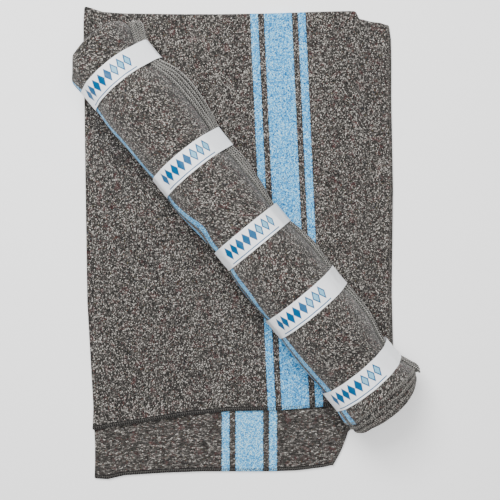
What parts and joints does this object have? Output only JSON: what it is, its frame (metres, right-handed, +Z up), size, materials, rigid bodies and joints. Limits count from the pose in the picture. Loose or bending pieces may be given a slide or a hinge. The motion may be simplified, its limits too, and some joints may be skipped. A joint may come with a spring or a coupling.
{
  "type": "stack of moving blankets",
  "caption": "Woven grey moving blankets with light blue stripes, folded flat below and rolled and tied on top.",
  "frame": {"origin": "middle of the whole stack's footprint, on the plane of the folded blanket's underside", "axes": "+Z up from the surface the stack lies on; +Y along the folded blanket's length towards its crosswise fold; +X towards its free side edges"},
  "size_m": [0.7798, 1.0886, 0.1995],
  "materials": {
    "blanket_cloth": "woven grey recycled yarn with flecks and light blue stripes",
    "roll_cloth": "woven grey recycled yarn with flecks and light blue stripes",
    "tie_film": "glossy white film with a plain blue print"
  },
  "bodies": {
    "root": {"folded_blanket": "blanket_cloth", "rolled_blankets": "roll_cloth", "tie_band_1": "tie_film", "tie_band_2": "tie_film", "tie_band_3": "tie_film", "tie_band_4": "tie_film", "tie_band_5": "tie_film"}
  },
  "joints": []
}
